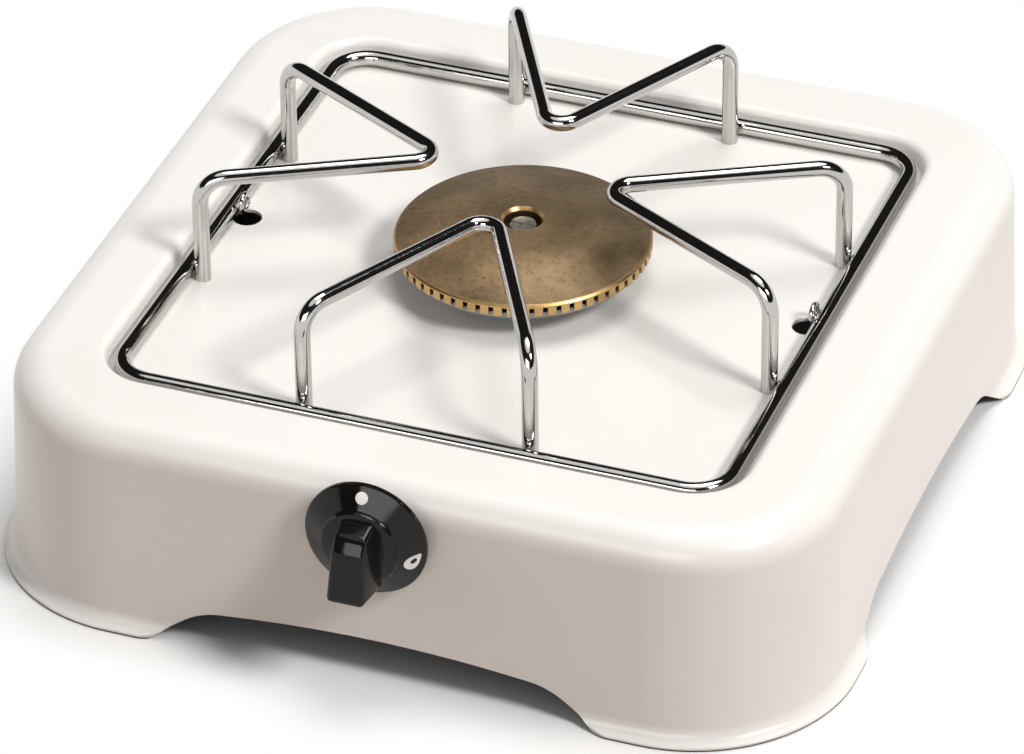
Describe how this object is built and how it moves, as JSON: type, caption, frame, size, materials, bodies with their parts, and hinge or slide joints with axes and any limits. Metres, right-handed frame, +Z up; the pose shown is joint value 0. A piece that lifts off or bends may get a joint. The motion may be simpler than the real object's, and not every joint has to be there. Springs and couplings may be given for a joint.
{
  "type": "single burner gas stove",
  "caption": "Low square tabletop gas stove: enamelled casing with arched sides, wire pan support, ported brass burner cap, push-and-turn knob in front and hose tail behind.",
  "frame": {"origin": "on the surface that the stove stands on, under the middle of its bounding box, which is the burner's axis", "axes": "+Z up, -Y to the front with the knob, +X to the right"},
  "size_m": [0.2948, 0.3322, 0.1107],
  "materials": {
    "enamel": "gloss vitreous enamel, warm white",
    "chrome_wire": "bright chrome plate",
    "aged_brass": "tarnished brown, bright at the edge",
    "cast_aluminium": "as cast",
    "brass": "turned",
    "steel": "zinc plated",
    "black_plastic": "gloss black"
  },
  "bodies": {
    "stove": {"casing": "enamel", "burner_cap": "aged_brass", "burner_cup": "cast_aluminium", "mixing_tube": "cast_aluminium", "burner_screws": "steel", "cap_screw": "steel", "tap_body": "brass", "tap_bonnet": "brass", "bonnet_screws": "steel", "tap_bracket": "steel", "tap_nut": "brass", "injector": "brass", "supply_pipe": "steel", "pipe_nuts": "brass", "hose_nozzle": "brass", "nozzle_nut": "brass"},
    "pan_support": {"support_ring": "chrome_wire", "finger_front": "chrome_wire", "finger_right": "chrome_wire", "finger_back": "chrome_wire", "finger_left": "chrome_wire", "support_eyes": "chrome_wire"},
    "plug": {"tap_plug": "brass", "tap_spring": "steel"},
    "knob": {"tap_spindle": "steel", "control_knob": "black_plastic", "knob_clip": "steel"}
  },
  "joints": [
    {"name": "pan_support_lift", "type": "slide", "parent": "stove", "child": "pan_support", "axis": [0, 0, 1], "range_m": [0, 0.05]},
    {"name": "knob_turn", "type": "hinge", "parent": "stove", "child": "plug", "pos_m": [0, -0.12, 0.0585], "axis": [0, -1, 0], "range_deg": [0, 200]},
    {"name": "knob_push", "type": "slide", "parent": "plug", "child": "knob", "axis": [0, 1, 0], "range_m": [0, 0.002], "stiffness_N_per_m": 1500, "springref_m": -0.004, "deforming": ["tap_spring"]}
  ]
}
